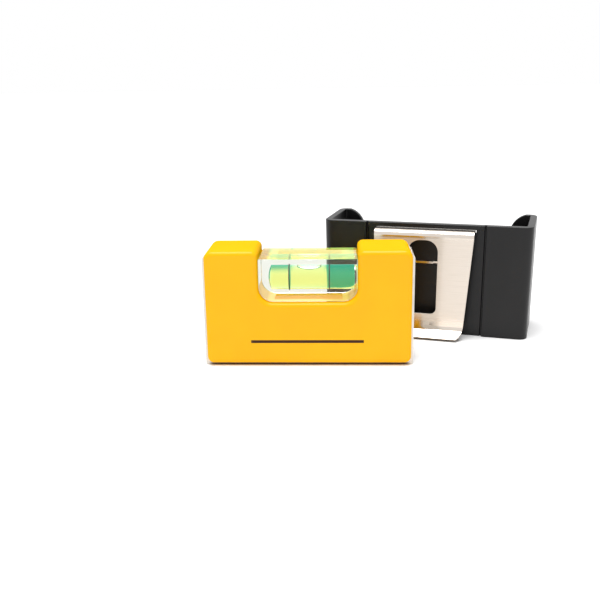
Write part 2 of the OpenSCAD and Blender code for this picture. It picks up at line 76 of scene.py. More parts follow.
Triple = tuple[float, float, float]
Colour = Triple
Span = tuple[float, float]
Socket = bpy.types.NodeSocket
Material = bpy.types.Material
Piece = bpy.types.Object


# Shader expressions


class Op(Enum):
    """Operations of the Math nodes that expressions add."""

    ADD = "ADD"
    SUBTRACT = "SUBTRACT"
    MULTIPLY = "MULTIPLY"
    ABSOLUTE = "ABSOLUTE"
    MOST = "MAXIMUM"


class Value:
    """A number that varies over a surface. Each operator adds one Math node to its graph."""

    def __init__(self, graph: "Graph", socket: Socket) -> None:
        """Wraps one output socket of a graph."""
        self.graph = graph
        self.socket = socket

    def __add__(self, other: "Value | float") -> "Value":
        """This plus other."""
        return self.graph.math(Op.ADD, self, other)

    __radd__ = __add__

    def __sub__(self, other: "Value | float") -> "Value":
        """This less other."""
        return self.graph.math(Op.SUBTRACT, self, other)

    def __rsub__(self, other: float) -> "Value":
        """Other less this."""
        return self.graph.math(Op.SUBTRACT, other, self)

    def __mul__(self, other: "Value | float") -> "Value":
        """This times other."""
        return self.graph.math(Op.MULTIPLY, self, other)

    __rmul__ = __mul__

    def __abs__(self) -> "Value":
        """This without its sign."""
        return self.graph.math(Op.ABSOLUTE, self)

    def at_least(self, other: "Value | float") -> "Value":
        """The greater of this and other."""
        return self.graph.math(Op.MOST, self, other)

    def swing(self, amount: float) -> "Value":
        """Noise made to vary round zero: amount times its distance from the middle."""
        return amount * (self - NOISE_MIDDLE)

    def rise(self, low: float, high: float) -> "Value":
        """Goes smoothly from 0 where this is low to 1 where it is high.

        Args:
            low: Where it starts.
            high: Where it ends.

        Returns:
            The rising value.
        """
        inputs = {"Value": self, "From Min": low, "From Max": high}
        made = self.graph.node("ShaderNodeMapRange", {"interpolation_type": "SMOOTHSTEP"}, inputs)
        return Value(self.graph, made.outputs["Result"])


class Graph:
    """Node tree of one material or of the surround."""

    def __init__(self, owner: Material | bpy.types.World) -> None:
        """Empties the owner's node tree.

        Args:
            owner: The material or world.
        """
        owner.use_nodes = True
        self.owner = owner
        self.tree = owner.node_tree
        self.tree.nodes.clear()

    @classmethod
    def of_material(cls, name: str) -> "Graph":
        """Graph of a new material."""
        return cls(bpy.data.materials.new(name))

    def node(
        self,
        kind: str,
        settings: dict[str, object] | None = None,
        inputs: dict[str | int, object] | None = None,
    ) -> bpy.types.Node:
        """Adds a node.

        Args:
            kind: The node's type name.
            settings: Properties that are set before its sockets are read.
            inputs: Values or links of its sockets, by name or number.

        Returns:
            The new node.
        """
        made = self.tree.nodes.new(kind)
        for key, value in (settings or {}).items():
            setattr(made, key, value)
        for key, value in (inputs or {}).items():
            self.feed(made.inputs[key], value)
        return made

    def feed(self, socket: Socket, value: object) -> None:
        """Links or sets one input socket.

        Args:
            socket: The input.
            value: An expression, an output socket, a number, a vector or a colour.
        """
        if isinstance(value, Value):
            self.tree.links.new(value.socket, socket)
        elif isinstance(value, Socket):
            self.tree.links.new(value, socket)
        elif socket.type == "RGBA":
            socket.default_value = (*value, 1.0)
        else:
            socket.default_value = value

    def math(self, operation: Op, *values: Value | float) -> Value:
        """Adds a Math node on one or two values."""
        made = self.node("ShaderNodeMath", {"operation": operation.value}, dict(enumerate(values)))
        return Value(self, made.outputs[0])

    def mix(self, share: Value, first: object, second: object) -> Socket:
        """Colour that goes from first to second as share goes from 0 to 1: sockets 6 and 7 of the node."""
        made = self.node("ShaderNodeMix", {"data_type": "RGBA"}, {0: share, 6: first, 7: second})
        return made.outputs[2]

    def place(self) -> Socket:
        """Position in the row frame, as the piece's own coordinates."""
        return self.node("ShaderNodeTexCoord").outputs["Object"]

    def map_place(self) -> Socket:
        """Position on a piece's own map."""
        return self.node("ShaderNodeTexCoord").outputs["UV"]

    def light_path(self, kind: str) -> Value:
        """1 for rays of one kind and 0 for all others."""
        return Value(self, self.node("ShaderNodeLightPath").outputs[f"Is {kind} Ray"])

    def parts_of(self, vector: Socket) -> list[Value]:
        """The three parts of a vector."""
        made = self.node("ShaderNodeSeparateXYZ", None, {0: vector})
        return [Value(self, part) for part in made.outputs]

    def stretched(self, vector: Socket, scale: Triple) -> Socket:
        """A vector with each of its parts scaled."""
        return self.node("ShaderNodeMapping", None, {"Vector": vector, "Scale": scale}).outputs[0]

    def noise(self, vector: Socket, scale: float, detail: float = 2.0) -> Value:
        """Cloudy noise from 0 to 1, with about scale clouds in each metre."""
        made = self.node("ShaderNodeTexNoise", None, {"Vector": vector, "Scale": scale, "Detail": detail})
        return Value(self, made.outputs[0])

    def bump(self, height: Value, distance: float) -> Socket:
        """Normal of a surface raised by height times distance."""
        return self.node("ShaderNodeBump", None, {"Height": height, "Distance": distance}).outputs[0]

    def principled(self, **inputs: object) -> Socket:
        """The common shader. An input's name has low lines in place of its spaces."""
        named = {key.replace("_", " "): value for key, value in inputs.items()}
        return self.node("ShaderNodeBsdfPrincipled", None, named).outputs[0]

    def light(self, colour: object, strength: float = 1.0) -> Socket:
        """Shader that gives off light and reflects none.

        Args:
            colour: Colour of the light.
            strength: Its strength.

        Returns:
            The shader.
        """
        return self.principled(
            Base_Color=BLACK, Specular_IOR_Level=0.0, Emission_Color=colour, Emission_Strength=strength
        )

    def glass(self, colour: Colour, bending: float) -> Socket:
        """Clear shader that bends light by the ratio of the inner index to the outer one."""
        inputs = {"Color": colour, "Roughness": 0.0, "IOR": bending}
        return self.node("ShaderNodeBsdfGlass", None, inputs).outputs[0]

    def between(self, share: Value | float, first: Socket, second: Socket) -> Socket:
        """Shader that goes from first to second as share goes from 0 to 1."""
        return self.node("ShaderNodeMixShader", None, {0: share, 1: first, 2: second}).outputs[0]

    def together(self, first: Socket, second: Socket) -> Socket:
        """Two shaders added up."""
        return self.node("ShaderNodeAddShader", None, {0: first, 1: second}).outputs[0]

    def shown(self, shader: Socket, inside: Socket | None = None) -> Material:
        """Ends the material.

        Args:
            shader: What its surface shows.
            inside: What fills it, if anything does.

        Returns:
            The material.
        """
        inputs = {"Surface": shader}
        if inside:
            inputs["Volume"] = inside
        self.node("ShaderNodeOutputMaterial", None, inputs)
        return self.owner


def toned(colour: Colour, factor: float) -> Colour:
    """A colour times one factor."""
    return tuple(part * factor for part in colour)


# Finishes


class Finish:
    """What all finishes share: each has a name and draws its own shader."""

    name: str

    def shader(self, g: Graph) -> Socket:
        """What the surface shows."""
        raise NotImplementedError

    def inside(self, g: Graph) -> Socket | None:
        """What fills the piece, if anything does."""
        return None

    def material(self) -> Material:
        """Builds the material."""
        g = Graph.of_material(self.name)
        return g.shown(self.shader(g), self.inside(g))


@dataclass(frozen=True)
class PrintedRule:
    """A plain printed line along the front of the level."""

    left: float = -19.2 * MM
    right: float = 18.4 * MM
    height: float = 8.6 * MM
    half_width: float = 0.5 * MM
    blur: float = 0.05 * MM
    front: float = -9.7 * MM

    def mask(self, x: Value, y: Value, z: Value) -> Value:
        """1 on the line and 0 off it.

        Args:
            x: Position along the level.
            y: Position from front to rear.
            z: Height.

        Returns:
            The mask.
        """
        middle = (self.left + self.right) / 2
        half_length = (self.right - self.left) / 2
        off_line = abs(z - self.height).rise(self.half_width - self.blur, self.half_width + self.blur)
        off_end = abs(x - middle).rise(half_length - self.blur, half_length + self.blur)
        off_front = y.rise(self.front, self.front + self.blur)
        return (1 - off_line) * (1 - off_end) * (1 - off_front)


@dataclass(frozen=True)
class YellowPlastic(Finish):
    """Semi-gloss moulded plastic with a faint grain, and on the front a printed line.

    Its gloss is an even share of mirror at every angle, as a fine texture gives it.
    """

    name: str
    rule: PrintedRule | None = None
    colour: Colour = (0.945, 0.49, 0.001)
    ink: Colour = (0.04, 0.013, 0.005)
    tone_spread: float = 0.025
    clouds: float = 70.0
    cloud_detail: float = 3.0
    cloud_span: Span = (0.3, 0.7)
    grain: float = 4200.0
    grain_depth: float = 0.004 * MM
    roughness: float = 0.25
    grain_roughness: float = 0.1
    cloud_roughness: float = 0.06
    ink_roughness: float = 0.2
    mirror: float = 0.017

    def shader(self, g: Graph) -> Socket:
        """Mixes the plastic's body with its share of mirror.

        Args:
            g: The material's graph.

        Returns:
            The surface's shader.
        """
        place = g.place()
        cloud = g.noise(place, self.clouds, self.cloud_detail)
        grain = g.noise(place, self.grain)
        pale, deep = toned(self.colour, 1 + self.tone_spread), toned(self.colour, 1 - self.tone_spread)
        colour = g.mix(cloud.rise(*self.cloud_span), deep, pale)
        rough = self.roughness + grain.swing(self.grain_roughness) + cloud.swing(self.cloud_roughness)
        if self.rule:
            line = self.rule.mask(*g.parts_of(place))
            colour = g.mix(line, colour, self.ink)
            rough = rough + self.ink_roughness * line
        normal = g.bump(grain, self.grain_depth)
        body = g.principled(Base_Color=colour, Roughness=rough, Normal=normal, Specular_IOR_Level=0.0)
        shine = g.principled(Base_Color=WHITE, Metallic=1.0, Roughness=rough, Normal=normal)
        return g.between(self.mirror, body, shine)


@dataclass(frozen=True)
class BlackPlastic(Finish):
    """Black moulding with the fine spark-eroded grain of its tool."""

    name: str = "black_moulding"
    colour: Colour = (0.004, 0.0038, 0.0042)
    scuffed: Colour = (0.0075, 0.007, 0.0075)
    clouds: float = 45.0
    cloud_detail: float = 4.0
    cloud_span: Span = (0.35, 0.75)
    grain: float = 3600.0
    grain_depth: float = 0.008 * MM
    roughness: float = 0.36
    cloud_roughness: float = 0.12
    grain_roughness: float = 0.1
    sheen: float = 0.32

    def shader(self, g: Graph) -> Socket:
        """Varies the tone by clouds, and the gloss by clouds and grain.

        Args:
            g: The material's graph.

        Returns:
            The surface's shader.
        """
        place = g.place()
        cloud = g.noise(place, self.clouds, self.cloud_detail)
        grain = g.noise(place, self.grain)
        return g.principled(
            Base_Color=g.mix(cloud.rise(*self.cloud_span), self.colour, self.scuffed),
            Roughness=self.roughness + cloud.swing(self.cloud_roughness) + grain.swing(self.grain_roughness),
            Normal=g.bump(grain, self.grain_depth),
            Specular_IOR_Level=self.sheen,
        )


@dataclass(frozen=True)
class MilledAluminium(Finish):
    """Bare aluminium with fine cutter lines across the measuring faces, and a painted contact shadow along
    its lowest edge.
    """

    name: str = "milled_aluminium"
    colour: Colour = (0.7, 0.665, 0.61)
    dull: Colour = (0.57, 0.54, 0.495)
    tone_span: Span = (0.35, 0.65)
    clouds: float = 220.0
    cloud_detail: float = 3.0
    cloud_share: float = 0.5
    # Painted contact shadow: dark brown along the base, in place of the shade under the level.
    painted_shadow: Colour = (0.09, 0.05, 0.03)
    painted_shadow_span: Span = (0.35 * MM, 0.95 * MM)
    unshadowed_ends: Span = (32.0 * MM, 34.4 * MM)
    line_scale: Triple = (5200.0, 240.0, 3400.0)
    line_depth: float = 0.006 * MM
    roughness: float = 0.3
    painted_rim_roughness: float = 0.16

    def shader(self, g: Graph) -> Socket:
        """Varies the tone by lines and clouds, with a painted contact shadow below a height except at the
        ends.

        Args:
            g: The material's graph.

        Returns:
            The surface's shader.
        """
        place = g.place()
        lines = g.noise(g.stretched(place, self.line_scale), 1.0)
        cloud = g.noise(place, self.clouds, self.cloud_detail)
        tone = self.cloud_share * cloud + (1 - self.cloud_share) * lines
        metal = g.mix(tone.rise(*self.tone_span), self.colour, self.dull)
        x, _, z = g.parts_of(place)
        # Painted contact shadow: the metal turns dark brown below a height, except near both ends.
        unshadowed = z.rise(*self.painted_shadow_span).at_least(abs(x).rise(*self.unshadowed_ends))
        return g.principled(
            Base_Color=g.mix(unshadowed, self.painted_shadow, metal),
            Metallic=1.0,
            Roughness=self.roughness + self.painted_rim_roughness * lines,
            Normal=g.bump(lines, self.line_depth),
        )


@dataclass(frozen=True)
class SpringSteel(Finish):
    """Bright rolled strip with faint lines across its length: a satin leaf between polished bends."""

    leaf_start: float
    leaf_end: float
    name: str = "spring_steel"
    colour: Colour = (0.76, 0.685, 0.61)
    dull: Colour = (0.71, 0.635, 0.56)
    tone_span: Span = (0.4, 0.75)
    satin: float = 0.6
    satin_roughness: float = 0.6
    satin_line_roughness: float = 0.2
    mirror_roughness: float = 0.09
    mirror_line_roughness: float = 0.07
    top_ease: float = 1.0 * MM
    foot_ease: float = 4.0 * MM
    line_scale: Triple = (110.0, 4200.0, 1.0)
    line_depth: float = 0.0008 * MM
    wave: float = 110.0
    wave_detail: float = 1.0
    wave_depth: float = 0.02 * MM

    def shader(self, g: Graph) -> Socket:
        """Mixes a mirror and a satin by the place along the strip.

        Args:
            g: The material's graph.

        Returns:
            The surface's shader.
        """
        unrolled = g.map_place()
        lines = g.noise(g.stretched(unrolled, self.line_scale), 1.0)
        wave = g.noise(unrolled, self.wave, self.wave_detail)
        colour = g.mix(lines.rise(*self.tone_span), self.colour, self.dull)
        normal = g.bump(lines * (self.line_depth / self.wave_depth) + wave, self.wave_depth)
        bright = self.mirror_roughness + self.mirror_line_roughness * lines
        dim = self.satin_roughness + self.satin_line_roughness * lines
        mirror = g.principled(Base_Color=colour, Metallic=1.0, Roughness=bright, Normal=normal)
        satin = g.principled(Base_Color=colour, Roughness=dim, Normal=normal)
        along = g.parts_of(unrolled)[1]
        on_leaf = along.rise(self.leaf_start, self.leaf_start + self.top_ease)
        share = self.satin * on_leaf * (1 - along.rise(self.leaf_end - self.foot_ease, self.leaf_end))
        return g.between(share, mirror, satin)


@dataclass(frozen=True)
class CloudyFinish(Finish):
    """Plain finish whose tone and gloss vary in small clouds."""

    name: str
    colour: Colour
    roughness: float
    clouds: float = 500.0
    cloud_detail: float = 3.0
    cloud_span: Span | None = None
    cloud_tone: float = 0.93
    cloud_roughness: float = 0.2
    metallic: float = 0.0
    sheen: float = 0.5
    # Painted glow: light given off by a piece that is no lamp, black unless set.
    painted_glow: Colour = BLACK

    def shader(self, g: Graph) -> Socket:
        """Varies the tone and the gloss by clouds, and gives off its painted glow.

        Args:
            g: The material's graph.

        Returns:
            The surface's shader.
        """
        cloud = g.noise(g.place(), self.clouds, self.cloud_detail)
        share = cloud.rise(*self.cloud_span) if self.cloud_span else cloud
        return g.principled(
            Base_Color=g.mix(share, self.colour, toned(self.colour, self.cloud_tone)),
            Metallic=self.metallic,
            Roughness=self.roughness + self.cloud_roughness * cloud,
            Specular_IOR_Level=self.sheen,
            Emission_Color=self.painted_glow,
            Emission_Strength=1.0,
        )


@dataclass(frozen=True)
class PlatedMetal(CloudyFinish):
    """Plated metal with the cloudy look of its bath."""

    clouds: float = 900.0
    cloud_detail: float = 4.0
    cloud_span: Span = (0.3, 0.7)
    cloud_tone: float = 0.86
    cloud_roughness: float = 0.12
    metallic: float = 1.0


@dataclass(frozen=True)
class MattBlack(CloudyFinish):
    """Matt black of the reading rings, with paler specks."""

    name: str = "ring_black"
    colour: Colour = (0.012, 0.012, 0.011)
    roughness: float = 0.6
    clouds: float = 5000.0
    cloud_detail: float = 2.0
    cloud_span: Span = (0.5, 0.8)
    cloud_tone: float = 1.8


@dataclass(frozen=True)
class CastingResin(CloudyFinish):
    """Thin resin under the vial, painted amber for the shaded yellow round it, with a painted glow."""

    name: str = "casting_resin"
    # Painted amber: the shaded yellow seen round the resin, not clear resin's own colour.
    colour: Colour = (1.0, 0.46, 0.05)
    roughness: float = 0.3
    sheen: float = 0.1
    # Painted glow, in place of the vial's light falling on the resin.
    painted_glow: Colour = (0.3, 0.11, 0.0)


@dataclass(frozen=True)
class ClearAcrylic(Finish):
    """Polished clear acrylic with a painted cream tint, for the yellow light round it."""

    name: str = "clear_acrylic"
    # Painted tint: cream for the light from the yellow shell, not the acrylic's own colour.
    colour: Colour = (0.89, 0.91, 0.83)
    bending: float = ACRYLIC_INDEX / AIR_INDEX
    clouds: float = 600.0
    cloud_detail: float = 3.0
    cloud_span: Span = (0.5, 0.9)
    cloud_roughness: float = 0.025

    def one_face(self, g: Graph) -> Socket:
        """Clear shader of one face, with the square root of the colour that two faces give."""
        return g.glass(tuple(math.sqrt(part) for part in self.colour), self.bending)

    def shader(self, g: Graph) -> Socket:
        """Lets light through, a little blurred in clouds.

        Args:
            g: The material's graph.

        Returns:
            The surface's shader.
        """
        cloud = g.noise(g.place(), self.clouds, self.cloud_detail)
        return g.principled(
            Base_Color=self.colour,
            Roughness=self.cloud_roughness * cloud.rise(*self.cloud_span),
            Transmission_Weight=1.0,
            IOR=self.bending,
        )


@dataclass(frozen=True)
class GlowingFace(Finish):
    """Top face of the block, with a painted glow added above the bore in place of the liquid's glow seen
    there.
    """

    acrylic: ClearAcrylic
    left: float
    right: float
    name: str = "glowing_face"
    front_glow: Colour = (0.22, 0.27, 0.02)
    rear_glow: Colour = (0.06, 0.28, 0.06)
    rear_span: Span = (-1.0 * MM, 3.0 * MM)
    blur: float = 0.6 * MM

    def shader(self, g: Graph) -> Socket:
        """Adds a glow to the clear face between the bore's ends.

        Args:
            g: The material's graph.

        Returns:
            The surface's shader.
        """
        x, y, _ = g.parts_of(g.place())
        middle, half = (self.left + self.right) / 2, (self.right - self.left) / 2
        off_bore = abs(x - middle).rise(half - self.blur, half + self.blur)
        # Painted glow: greener towards the rear, and only between the bore's ends.
        glow = g.mix(y.rise(*self.rear_span), self.front_glow, self.rear_glow)
        return g.together(self.acrylic.one_face(g), g.light(g.mix(off_bore, glow, BLACK)))


@dataclass(frozen=True)
class HazyFace(Finish):
    """Lower front edge and lower corners of the block, with a painted pale highlight and a painted glow mixed
    into the clear face.
    """

    acrylic: ClearAcrylic
    underside: float
    name: str = "hazy_face"
    # Painted highlight and glow: pale colours and light in place of the glints and the vial's light at the
    # lower edge.
    painted_haze: Colour = (1.0, 0.72, 0.36)
    painted_glow: Colour = (0.5, 0.32, 0.0)
    corner_painted_haze: Colour = (0.74, 0.52, 0.16)
    corner_painted_glow: Colour = (0.36, 0.14, 0.0)
    corner_span: Span = (0.1 * MM, 0.8 * MM)
    share: float = 0.75
    clouds: float = 400.0
    cloud_tone: float = 0.94
    roughness: float = 0.5

    def shader(self, g: Graph) -> Socket:
        """Mixes the clear face with a painted pale highlight and a painted glow, whose colours change up the
        round corners.

        Args:
            g: The material's graph.

        Returns:
            The surface's shader.
        """
        place = g.place()
        cloud = g.noise(place, self.clouds)
        bent = (g.parts_of(place)[2] - self.underside).rise(*self.corner_span)
        painted_film = g.mix(cloud, self.painted_haze, toned(self.painted_haze, self.cloud_tone))
        # Painted highlight and glow, mixed into the clear face.
        hazy = g.principled(
            Base_Color=g.mix(bent, painted_film, self.corner_painted_haze),
            Roughness=self.roughness,
            Specular_IOR_Level=0.0,
            Emission_Color=g.mix(bent, self.painted_glow, self.corner_painted_glow),
            Emission_Strength=1.0,
        )
        return g.between(self.share, self.acrylic.one_face(g), hazy)


@dataclass(frozen=True)
class BondedFace(Finish):
    """Face of the block that liquid or resin touches: what touches it meets the light there."""

    name: str = "bonded_face"

    def shader(self, g: Graph) -> Socket:
        """Lets light straight through."""
        return g.node("ShaderNodeBsdfTransparent").outputs[0]


@dataclass(frozen=True)
class VialLiquid(Finish):
    """Fluorescent yellow-green liquid, which meets acrylic and not air, and takes blue from what passes."""

    name: str = "vial_liquid"
    passed: Colour = (0.99, 0.78, 0.02)
    density: float = 280.0
    glow: Colour = (0.0, 1.0, 0.72)
    low_glow: Colour = (0.01, 0.8, 0.36)
    glow_strength: float = 0.28
    bending: float = LIQUID_INDEX / ACRYLIC_INDEX
    low: float = 25.0 * MM
    high: float = 33.2 * MM
    shade: Colour = (0.36, 0.5, 0.48)
    shade_low: float = 30.6 * MM
    unshaded: Span = (4.0 * MM, 7.5 * MM)

    def shader(self, g: Graph) -> Socket:
        """Adds a glow, bluer towards the top, to a clear surface that is shaded along the top.

        Args:
            g: The material's graph.

        Returns:
            The surface's shader.
        """
        x, _, height = g.parts_of(g.place())
        light = g.light(g.mix(height.rise(self.low, self.high), self.low_glow, self.glow), self.glow_strength)
        near_top = height.rise(self.shade_low, self.high) * abs(x).rise(*self.unshaded)
        clear = g.between(near_top, g.glass(WHITE, self.bending), g.glass(self.shade, self.bending))
        return g.together(clear, light)

    def inside(self, g: Graph) -> Socket:
        """Takes up colour along the way through."""
        inputs = {"Color": self.passed, "Density": self.density}
        return g.node("ShaderNodeVolumeAbsorption", None, inputs).outputs[0]


@dataclass(frozen=True)
class BubbleAir(Finish):
    """Air in the liquid, with a painted dark line along its lower rim in place of the dark things its edge
    reflects.
    """

    name: str = "bubble_air"
    bending: float = AIR_INDEX / LIQUID_INDEX
    # Painted reflection: a dark band along the bubble's lower rim.
    line: Colour = (0.015, 0.013, 0.008)
    painted_rim_share: float = 0.92
    painted_rim_drop: float = 0.1
    painted_rim_half: float = 0.5
    painted_rim_roughness: float = 0.4

    def shader(self, g: Graph) -> Socket:
        """Mixes in the painted dark line by the map's second part, the angle from the bubble's top to its
        foot.

        Args:
            g: The material's graph.

        Returns:
            The surface's shader.
        """
        down = g.parts_of(g.map_place())[1]
        # Painted reflection: the rim band is mixed to a dark diffuse shader.
        off_line = abs(down - (RIGHT_ANGLE + self.painted_rim_drop)).rise(self.painted_rim_half / 2, self.painted_rim_half)
        dark = g.principled(Base_Color=self.line, Roughness=self.painted_rim_roughness)
        return g.between(self.painted_rim_share * (1 - off_line), g.glass(WHITE, self.bending), dark)


# Surfaces


def quarter_turn(steps: int) -> np.ndarray:
    """Angles from 0 to a right angle."""
    return np.linspace(0, RIGHT_ANGLE, steps + 1)


@dataclass(frozen=True)
class Outline:
    """Rectangle with round corners, counter-clockwise."""

    corners: tuple[Span, ...]
    radii: tuple[float, ...]
    steps: int = 12
    support: float = 0.04 * MM

    def inset(self, depths: np.ndarray) -> np.ndarray:
        """Points of the outline with all its edges moved inwards.

        Each corner point moves along both of its edges by the depth, and its arc loses that much radius. The
        arc turns from the edge that comes to the edge that leaves. A point just before each arc and one just
        after it keep the shading of the straight runs flat.

        Args:
            depths: How far the edges move, one value for each ring.

        Returns:
            Points as (rings, points, 2).
        """
        corner = np.array(self.corners)
        leave = np.roll(corner, -1, 0) - corner
        leave = leave / np.linalg.norm(leave, axis=1, keepdims=True)
        come = np.roll(leave, 1, 0)
        depth = np.asarray(depths, float)[:, None, None]
        tip = corner + depth * (leave - come)
        radius = np.array(self.radii)[:, None] - depth
        centre = tip + radius * (leave - come)
        angle = quarter_turn(self.steps)[:, None]
        spoke = come[:, None] * np.sin(angle) - leave[:, None] * np.cos(angle)
        arc = centre[:, :, None] + radius[:, :, None] * spoke
        before = (tip - come * (radius + self.support))[:, :, None]
        after = (tip + leave * (radius + self.support))[:, :, None]
        return np.concatenate([before, arc, after], 2).reshape(len(depth), -1, 2)


@dataclass
class Skin:
    """Points and faces of a piece while it is worked out, and its own map where it has one."""

    points: np.ndarray
    faces: list[list[int]]
    unrolled: np.ndarray | None = None

    def joined(self, other: "Skin") -> "Skin":
        """Joins two skins of four-sided faces that both have a map.

        Args:
            other: The second skin.

        Returns:
            Both as one skin.
        """
        count = len(self.points)
        moved = (np.array(other.faces) + count).tolist()
        points = np.concatenate([self.points, other.points])
        return Skin(points, self.faces + moved, np.concatenate([self.unrolled, other.unrolled]))

    def piece(self, name: str, sharp_deg: float = 35.0) -> Piece:
        """Puts the skin into a new object, with its faces outwards.

        Args:
            name: The object's name.
            sharp_deg: Edges that bend more than this stay sharp.

        Returns:
            The object, at the origin.
        """
        mesh = bpy.data.meshes.new(name)
        mesh.from_pydata(self.points.tolist(), [], self.faces)
        mesh.update()
        if self.volume(mesh) < 0:
            mesh.flip_normals()
        if self.unrolled is not None:
            corners = np.zeros(len(mesh.loops), np.int32)
            mesh.loops.foreach_get("vertex_index", corners)
            layer = mesh.uv_layers.new(name="unrolled")
            layer.uv.foreach_set("vector", self.unrolled[corners].astype(np.float32).ravel())
        mesh.shade_smooth()
        mesh.set_sharp_from_angle(angle=math.radians(sharp_deg))
        made = bpy.data.objects.new(name, mesh)
        bpy.context.scene.collection.objects.link(made)
        return made

    @staticmethod
    def volume(mesh: bpy.types.Mesh) -> float:
        """Signed volume: the sum over the triangles of each one's corner product over six.

        Args:
            mesh: A closed mesh.

        Returns:
            The volume, below zero where the faces point inwards.
        """
        mesh.calc_loop_triangles()
        corners = np.zeros(len(mesh.loop_triangles) * 3, np.int32)
        mesh.loop_triangles.foreach_get("vertices", corners)
        places = np.zeros(len(mesh.vertices) * 3)
        mesh.vertices.foreach_get("co", places)
        a, b, c = places.reshape(-1, 3)[corners.reshape(-1, 3)].transpose(1, 0, 2)
        return float((a * np.cross(b, c)).sum() / 6)


def ringed(rings: np.ndarray) -> Skin:
    """Closed skin over a stack of closed rings, with a flat cap on the first and on the last.

    Args:
        rings: Points as (rings, points, 3).

    Returns:
        The skin.
    """
    count, around = rings.shape[:2]
    index = np.arange(count * around).reshape(count, around)
    following = np.roll(index, -1, 1)
    quads = np.stack([index[:-1], following[:-1], following[1:], index[1:]], -1).reshape(-1, 4)
    faces = [*quads.tolist(), index[0, ::-1].tolist(), index[-1].tolist()]
    return Skin(rings.reshape(-1, 3), faces)


def plate(front: np.ndarray, back: np.ndarray, kept: np.ndarray, unrolled: np.ndarray) -> Skin:
    """Closed plate between two grids of points, with a rim along every edge of the cells that are kept.

    Args:
        front: Points of one side as (rows, columns, 3).
        back: Points of the other side.
        kept: Which cells of the grid are there.
        unrolled: Flat position of each grid point as (rows, columns, 2).

    Returns:
        The skin.
    """
    rows, columns = front.shape[:2]
    near = np.arange(rows * columns).reshape(rows, columns)
    far = near + rows * columns
    face = np.stack([near[:-1, :-1], near[:-1, 1:], near[1:, 1:], near[1:, :-1]], -1)[kept]
    rear = np.stack([far[:-1, :-1], far[1:, :-1], far[1:, 1:], far[:-1, 1:]], -1)[kept]
    padded = np.pad(kept, 1)
    across = np.stack([near[:, 1:], near[:, :-1], far[:, :-1], far[:, 1:]], -1)
    along = np.stack([near[:-1], near[1:], far[1:], far[:-1]], -1)
    above, below = padded[:-1, 1:-1], padded[1:, 1:-1]
    left, right = padded[1:-1, :-1], padded[1:-1, 1:]
    rims = [
        across[below & ~above],
        across[above & ~below][:, ::-1],
        along[right & ~left],
        along[left & ~right][:, ::-1],
    ]
    quads = np.concatenate([face, rear, *rims])
    points = np.concatenate([front.reshape(-1, 3), back.reshape(-1, 3)])
    flat = np.concatenate([unrolled.reshape(-1, 2)] * 2)
    return Skin(points, quads.tolist(), flat)


def cut(body: Piece, cutter: Piece) -> None:
    """Takes one closed piece out of another, and removes the cutter.

    Args:
        body: The piece that is cut. Its mesh is replaced.
        cutter: The piece that is taken out. Its materials go to the faces that it leaves.
    """
    tool = body.modifiers.new("cut", "BOOLEAN")
    tool.operation = "DIFFERENCE"
    tool.solver = "EXACT"
    tool.material_mode = "TRANSFER"
    tool.object = cutter
    graph = bpy.context.evaluated_depsgraph_get()
    made = bpy.data.meshes.new_from_object(
        body.evaluated_get(graph), preserve_all_data_layers=True, depsgraph=graph
    )
    body.modifiers.clear()
    body.data = made
    bpy.data.objects.remove(cutter)


def soften(piece: Piece, width: float, segments: int, angle_deg: float) -> None:
    """Rounds the edges of a piece.

    Args:
        piece: The piece.
        width: How far the rounding reaches.
        segments: Faces across the rounding.
        angle_deg: Edges that bend less than this stay as they are.
    """
    bevel = piece.modifiers.new("edges", "BEVEL")
    bevel.width = width
    bevel.segments = segments
    bevel.limit_method = "ANGLE"
    bevel.angle_limit = math.radians(angle_deg)
    bevel.harden_normals = True


def face_middles(piece: Piece) -> np.ndarray:
    """Finds the middle of each face.

    Args:
        piece: The piece.

    Returns:
        The middles as (faces, 3).
    """
    middles = np.zeros(len(piece.data.polygons) * 3, np.float32)
    piece.data.polygons.foreach_get("center", middles)
    return middles.reshape(-1, 3)


def choose_slots(piece: Piece, slots: np.ndarray) -> None:
    """Gives each face of a piece the number of its material."""
    piece.data.polygons.foreach_set("material_index", slots.astype(np.int32))


def dress(piece: Piece, *materials: Material) -> None:
    """Gives a piece its materials.

    Args:
        piece: The piece.
        materials: Its materials, in the order of its slots.
    """
    piece.data.materials.clear()
    for material in materials:
        piece.data.materials.append(material)


def report(piece: Piece) -> None:
    """Logs one finished piece."""
    LOG.info("%s: %d points, %d faces", piece.name, len(piece.data.vertices), len(piece.data.polygons))


def dress_node(name: str, material: Material) -> Piece:
    """Gives a carried-over solid its material and logs it.

    Args:
        name: The solid's node.
        material: Its material.

    Returns:
        The solid's object.
    """
    piece = frame["nodes"][name]
    dress(piece, material)
    report(piece)
    return piece


# Sub-assemblies


@dataclass
class LevelBody:
    """Aluminium core, its magnets and the two yellow shells, whose solids have the right shape already."""

    front: YellowPlastic = YellowPlastic("yellow_front", PrintedRule())
    rear: YellowPlastic = YellowPlastic("yellow_rear")
    core: MilledAluminium = MilledAluminium()
    cup: PlatedMetal = PlatedMetal("zinc_plated_cup", (0.62, 0.62, 0.61), 0.32)
    magnet: PlatedMetal = PlatedMetal("nickel_plated_magnet", (0.68, 0.66, 0.62), 0.16)

    def build(self) -> None:
        """Dresses the carried-over solids."""
        dress_node("front_shell", self.front.material())
        dress_node("rear_shell", self.rear.material())
        dress_node("frame", self.core.material())
        cup, magnet = self.cup.material(), self.magnet.material()
        for side in SIDES:
            dress_node(f"magnet_cup_{side}", cup)
            dress_node(f"magnet_{side}", magnet)


class BlockFace(IntEnum):
    """Material slots of the vial's block."""

    PLAIN = 0
    BONDED = 1
    GLOWING = 2
    HAZY = 3


